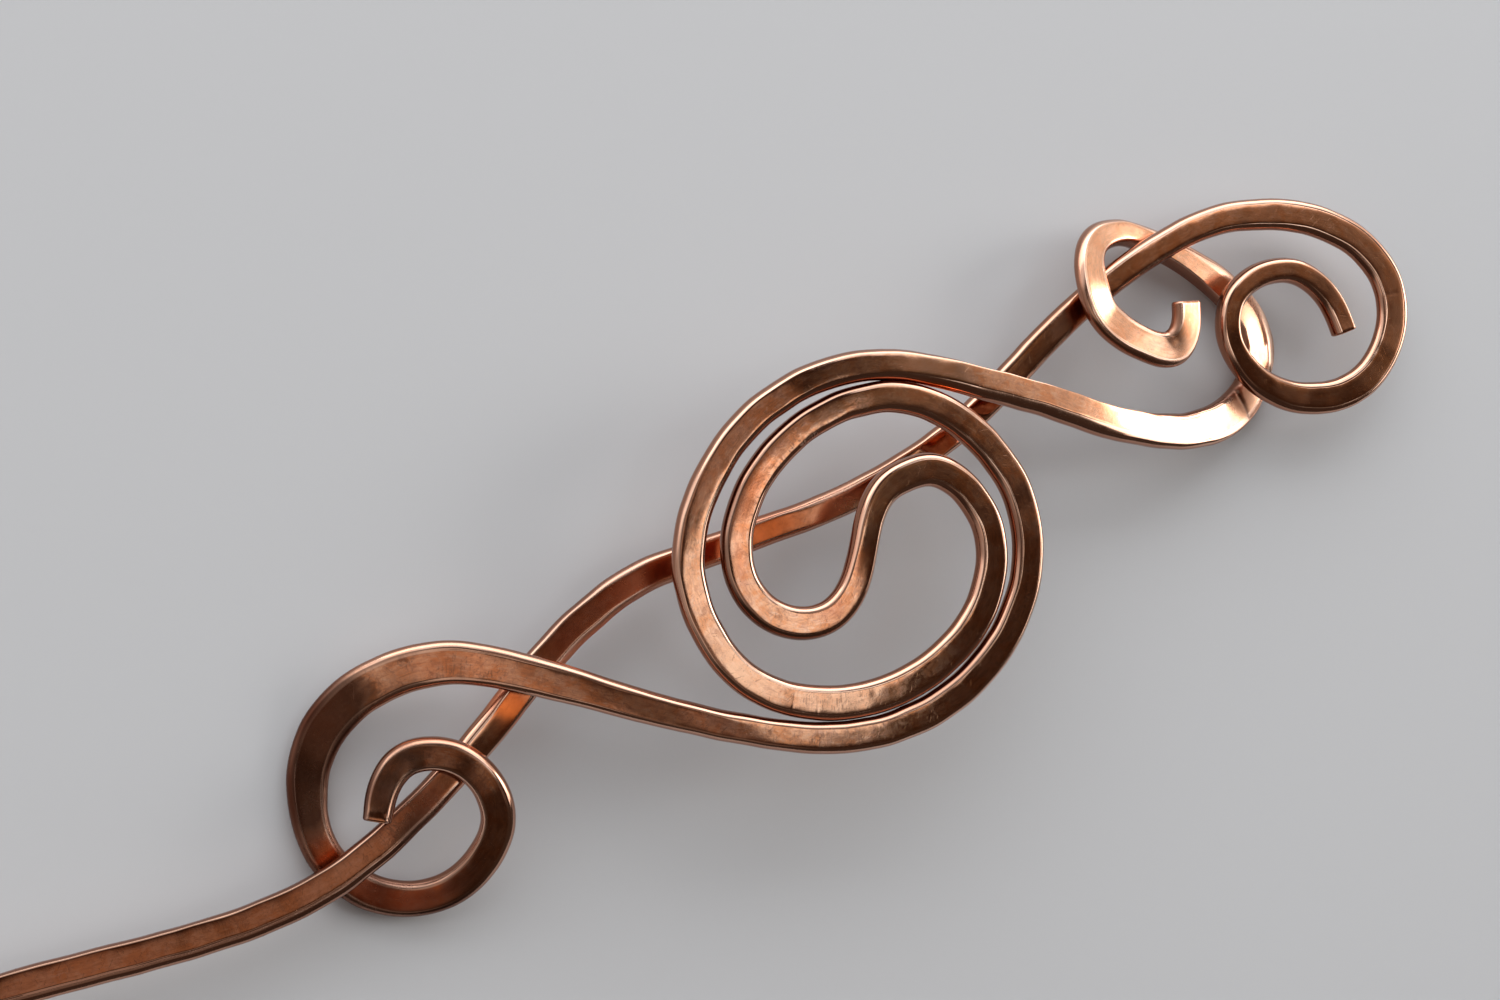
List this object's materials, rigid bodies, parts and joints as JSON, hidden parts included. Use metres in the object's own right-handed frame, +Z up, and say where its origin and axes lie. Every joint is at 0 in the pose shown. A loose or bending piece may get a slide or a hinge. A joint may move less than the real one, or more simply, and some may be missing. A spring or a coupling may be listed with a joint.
{
  "type": "hair slide",
  "caption": "Arched hair slide bent from flattened copper wire, with a double spiral, a curl at each end and a wavy stick that passes through it.",
  "frame": {"origin": "bottom centre of the whole slide as it lies on a surface, 9.2 mm to the left of the middle of the spiral", "axes": "+X along the slide towards the head of the stick, +Z up, out of the spiral's face"},
  "size_m": [0.1582, 0.0348, 0.0111],
  "materials": {
    "frame_copper": "polished hammered copper with brown tarnish and fine scratches",
    "stick_copper": "polished hammered copper with brown tarnish and fine scratches"
  },
  "bodies": {
    "frame": {"spiral_frame": "frame_copper"},
    "stick": {"hair_stick": "stick_copper"}
  },
  "joints": [
    {"name": "stick_slide", "type": "slide", "parent": "frame", "child": "stick", "axis": [1, 0, 0], "range_m": [0, 0.145]}
  ]
}
